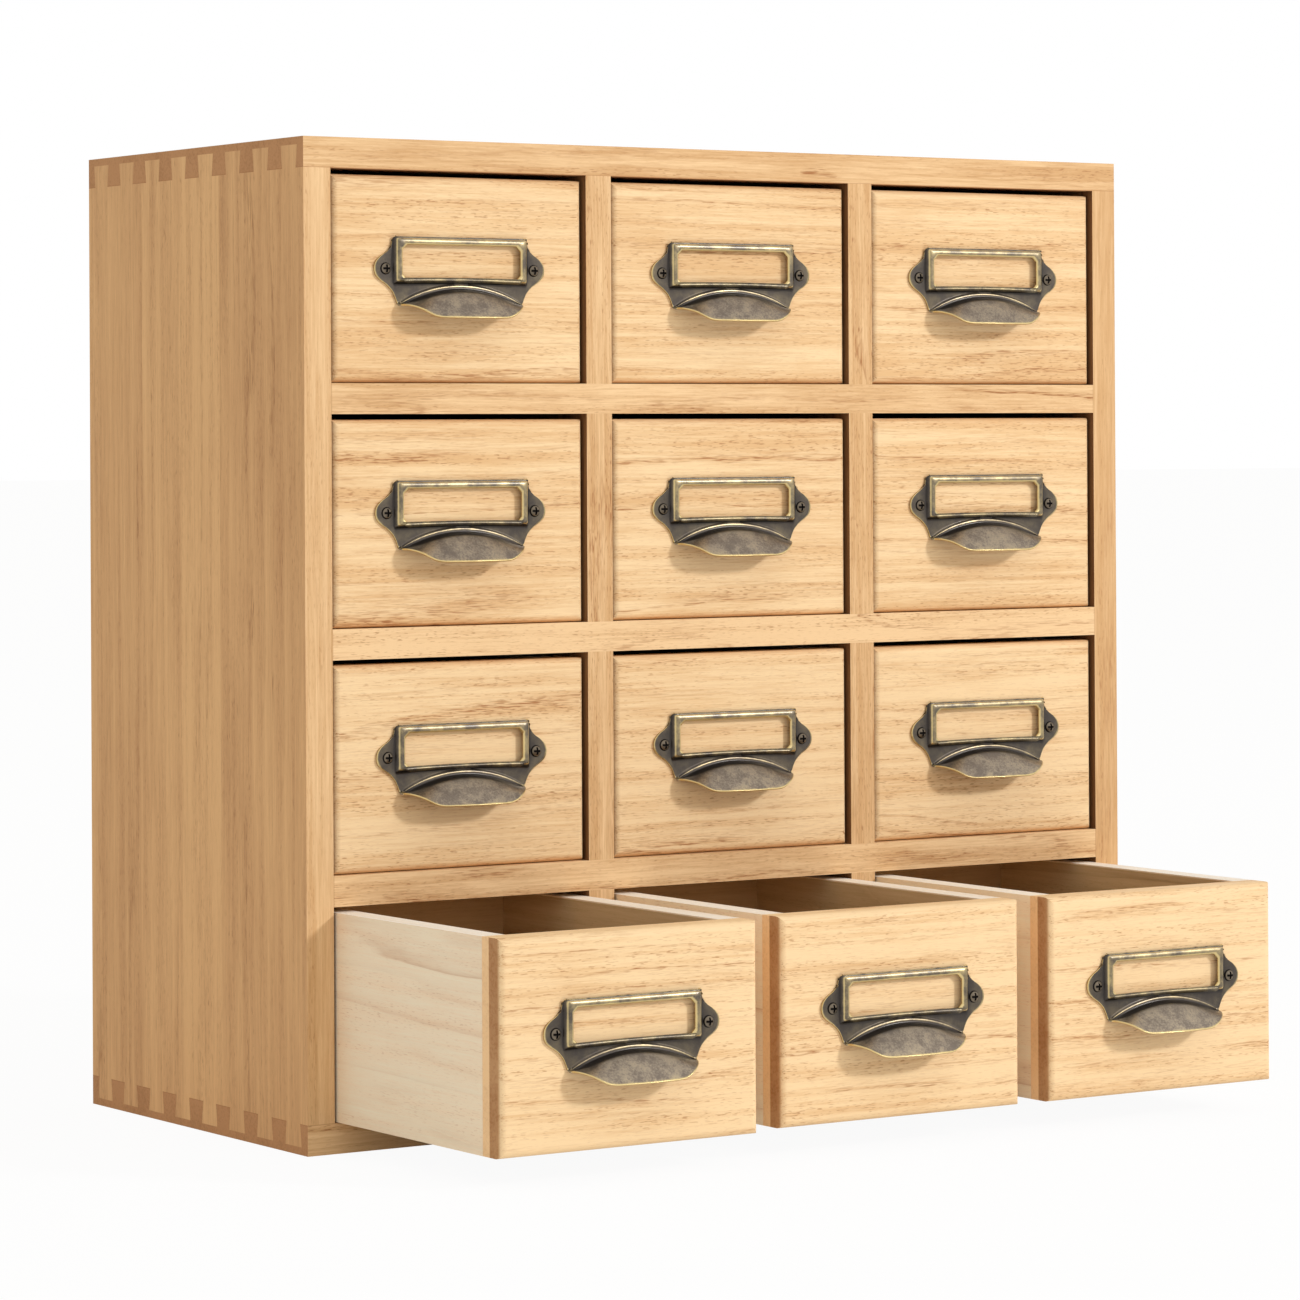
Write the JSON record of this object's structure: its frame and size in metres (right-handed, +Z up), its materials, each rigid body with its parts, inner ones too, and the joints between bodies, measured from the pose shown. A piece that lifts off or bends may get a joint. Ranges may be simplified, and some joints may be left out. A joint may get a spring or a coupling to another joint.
{
  "type": "card catalog cabinet",
  "caption": "Dovetailed wooden card catalog case with inset sliding drawers, each with a framed metal label holder and a finger lip to pull it out.",
  "frame": {"origin": "centre of the underside of the case", "axes": "+Z up, -Y out of the front where the drawers open, +X along the width"},
  "size_m": [0.4, 0.3175, 0.394],
  "materials": {
    "case_wood": "matte",
    "back_wood": "matte",
    "front_wood": "matte",
    "drawer_wood": "matte",
    "pull_metal": "antique",
    "screw_metal": "antique"
  },
  "bodies": {
    "case": {"top_board": "case_wood", "bottom_board": "case_wood", "left_side": "case_wood", "right_side": "case_wood", "back_panel": "back_wood", "shelf_1": "case_wood", "shelf_2": "case_wood", "shelf_3": "case_wood", "dividers_1": "case_wood", "dividers_2": "case_wood"},
    "drawer_a1": {"drawer_front_a1": "front_wood", "drawer_box_a1": "drawer_wood", "label_pull_a1": "pull_metal", "pull_screws_a1": "screw_metal"},
    "drawer_a2": {"drawer_front_a2": "front_wood", "drawer_box_a2": "drawer_wood", "label_pull_a2": "pull_metal", "pull_screws_a2": "screw_metal"},
    "drawer_a3": {"drawer_front_a3": "front_wood", "drawer_box_a3": "drawer_wood", "label_pull_a3": "pull_metal", "pull_screws_a3": "screw_metal"},
    "drawer_b1": {"drawer_front_b1": "front_wood", "drawer_box_b1": "drawer_wood", "label_pull_b1": "pull_metal", "pull_screws_b1": "screw_metal"},
    "drawer_b2": {"drawer_front_b2": "front_wood", "drawer_box_b2": "drawer_wood", "label_pull_b2": "pull_metal", "pull_screws_b2": "screw_metal"},
    "drawer_b3": {"drawer_front_b3": "front_wood", "drawer_box_b3": "drawer_wood", "label_pull_b3": "pull_metal", "pull_screws_b3": "screw_metal"},
    "drawer_c1": {"drawer_front_c1": "front_wood", "drawer_box_c1": "drawer_wood", "label_pull_c1": "pull_metal", "pull_screws_c1": "screw_metal"},
    "drawer_c2": {"drawer_front_c2": "front_wood", "drawer_box_c2": "drawer_wood", "label_pull_c2": "pull_metal", "pull_screws_c2": "screw_metal"},
    "drawer_c3": {"drawer_front_c3": "front_wood", "drawer_box_c3": "drawer_wood", "label_pull_c3": "pull_metal", "pull_screws_c3": "screw_metal"},
    "drawer_d1": {"drawer_front_d1": "front_wood", "drawer_box_d1": "drawer_wood", "label_pull_d1": "pull_metal", "pull_screws_d1": "screw_metal"},
    "drawer_d2": {"drawer_front_d2": "front_wood", "drawer_box_d2": "drawer_wood", "label_pull_d2": "pull_metal", "pull_screws_d2": "screw_metal"},
    "drawer_d3": {"drawer_front_d3": "front_wood", "drawer_box_d3": "drawer_wood", "label_pull_d3": "pull_metal", "pull_screws_d3": "screw_metal"}
  },
  "joints": [
    {"name": "slide_a1", "type": "slide", "parent": "case", "child": "drawer_a1", "axis": [0, -1, 0], "range_m": [0, 0.15]},
    {"name": "slide_a2", "type": "slide", "parent": "case", "child": "drawer_a2", "axis": [0, -1, 0], "range_m": [0, 0.15]},
    {"name": "slide_a3", "type": "slide", "parent": "case", "child": "drawer_a3", "axis": [0, -1, 0], "range_m": [0, 0.15]},
    {"name": "slide_b1", "type": "slide", "parent": "case", "child": "drawer_b1", "axis": [0, -1, 0], "range_m": [0, 0.15]},
    {"name": "slide_b2", "type": "slide", "parent": "case", "child": "drawer_b2", "axis": [0, -1, 0], "range_m": [0, 0.15]},
    {"name": "slide_b3", "type": "slide", "parent": "case", "child": "drawer_b3", "axis": [0, -1, 0], "range_m": [0, 0.15]},
    {"name": "slide_c1", "type": "slide", "parent": "case", "child": "drawer_c1", "axis": [0, -1, 0], "range_m": [0, 0.15]},
    {"name": "slide_c2", "type": "slide", "parent": "case", "child": "drawer_c2", "axis": [0, -1, 0], "range_m": [0, 0.15]},
    {"name": "slide_c3", "type": "slide", "parent": "case", "child": "drawer_c3", "axis": [0, -1, 0], "range_m": [0, 0.15]},
    {"name": "slide_d1", "type": "slide", "parent": "case", "child": "drawer_d1", "axis": [0, -1, 0], "range_m": [-0.12175, 0.02825]},
    {"name": "slide_d2", "type": "slide", "parent": "case", "child": "drawer_d2", "axis": [0, -1, 0], "range_m": [-0.11625, 0.03375]},
    {"name": "slide_d3", "type": "slide", "parent": "case", "child": "drawer_d3", "axis": [0, -1, 0], "range_m": [-0.117, 0.033]}
  ]
}
